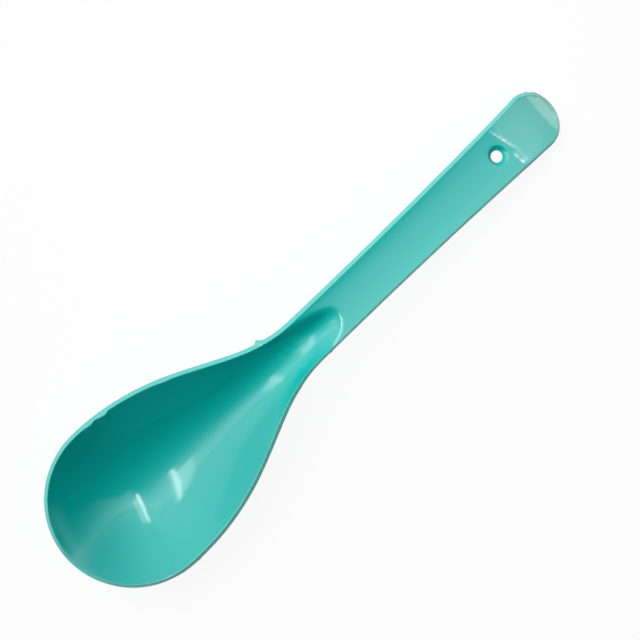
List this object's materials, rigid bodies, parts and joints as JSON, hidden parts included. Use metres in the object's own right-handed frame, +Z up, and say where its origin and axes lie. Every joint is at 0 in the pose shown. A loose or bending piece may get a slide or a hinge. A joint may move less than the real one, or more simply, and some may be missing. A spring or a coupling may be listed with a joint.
{
  "type": "serving spoon",
  "caption": "Moulded plastic serving spoon with a deep egg-shaped bowl, a channel in the neck, and a flat handle with a hang hole and a turned-down end tab.",
  "frame": {"origin": "centre of the bounding box at its bottom, on the table that the spoon lies on", "axes": "+X from the bowl's tip to the handle's end, +Y to the left seen from the bowl's tip, +Z up out of the bowl"},
  "size_m": [0.24, 0.064, 0.0274],
  "materials": {
    "teal_plastic": "gloss, as moulded"
  },
  "bodies": {
    "root": {"spoon": "teal_plastic"}
  },
  "joints": []
}
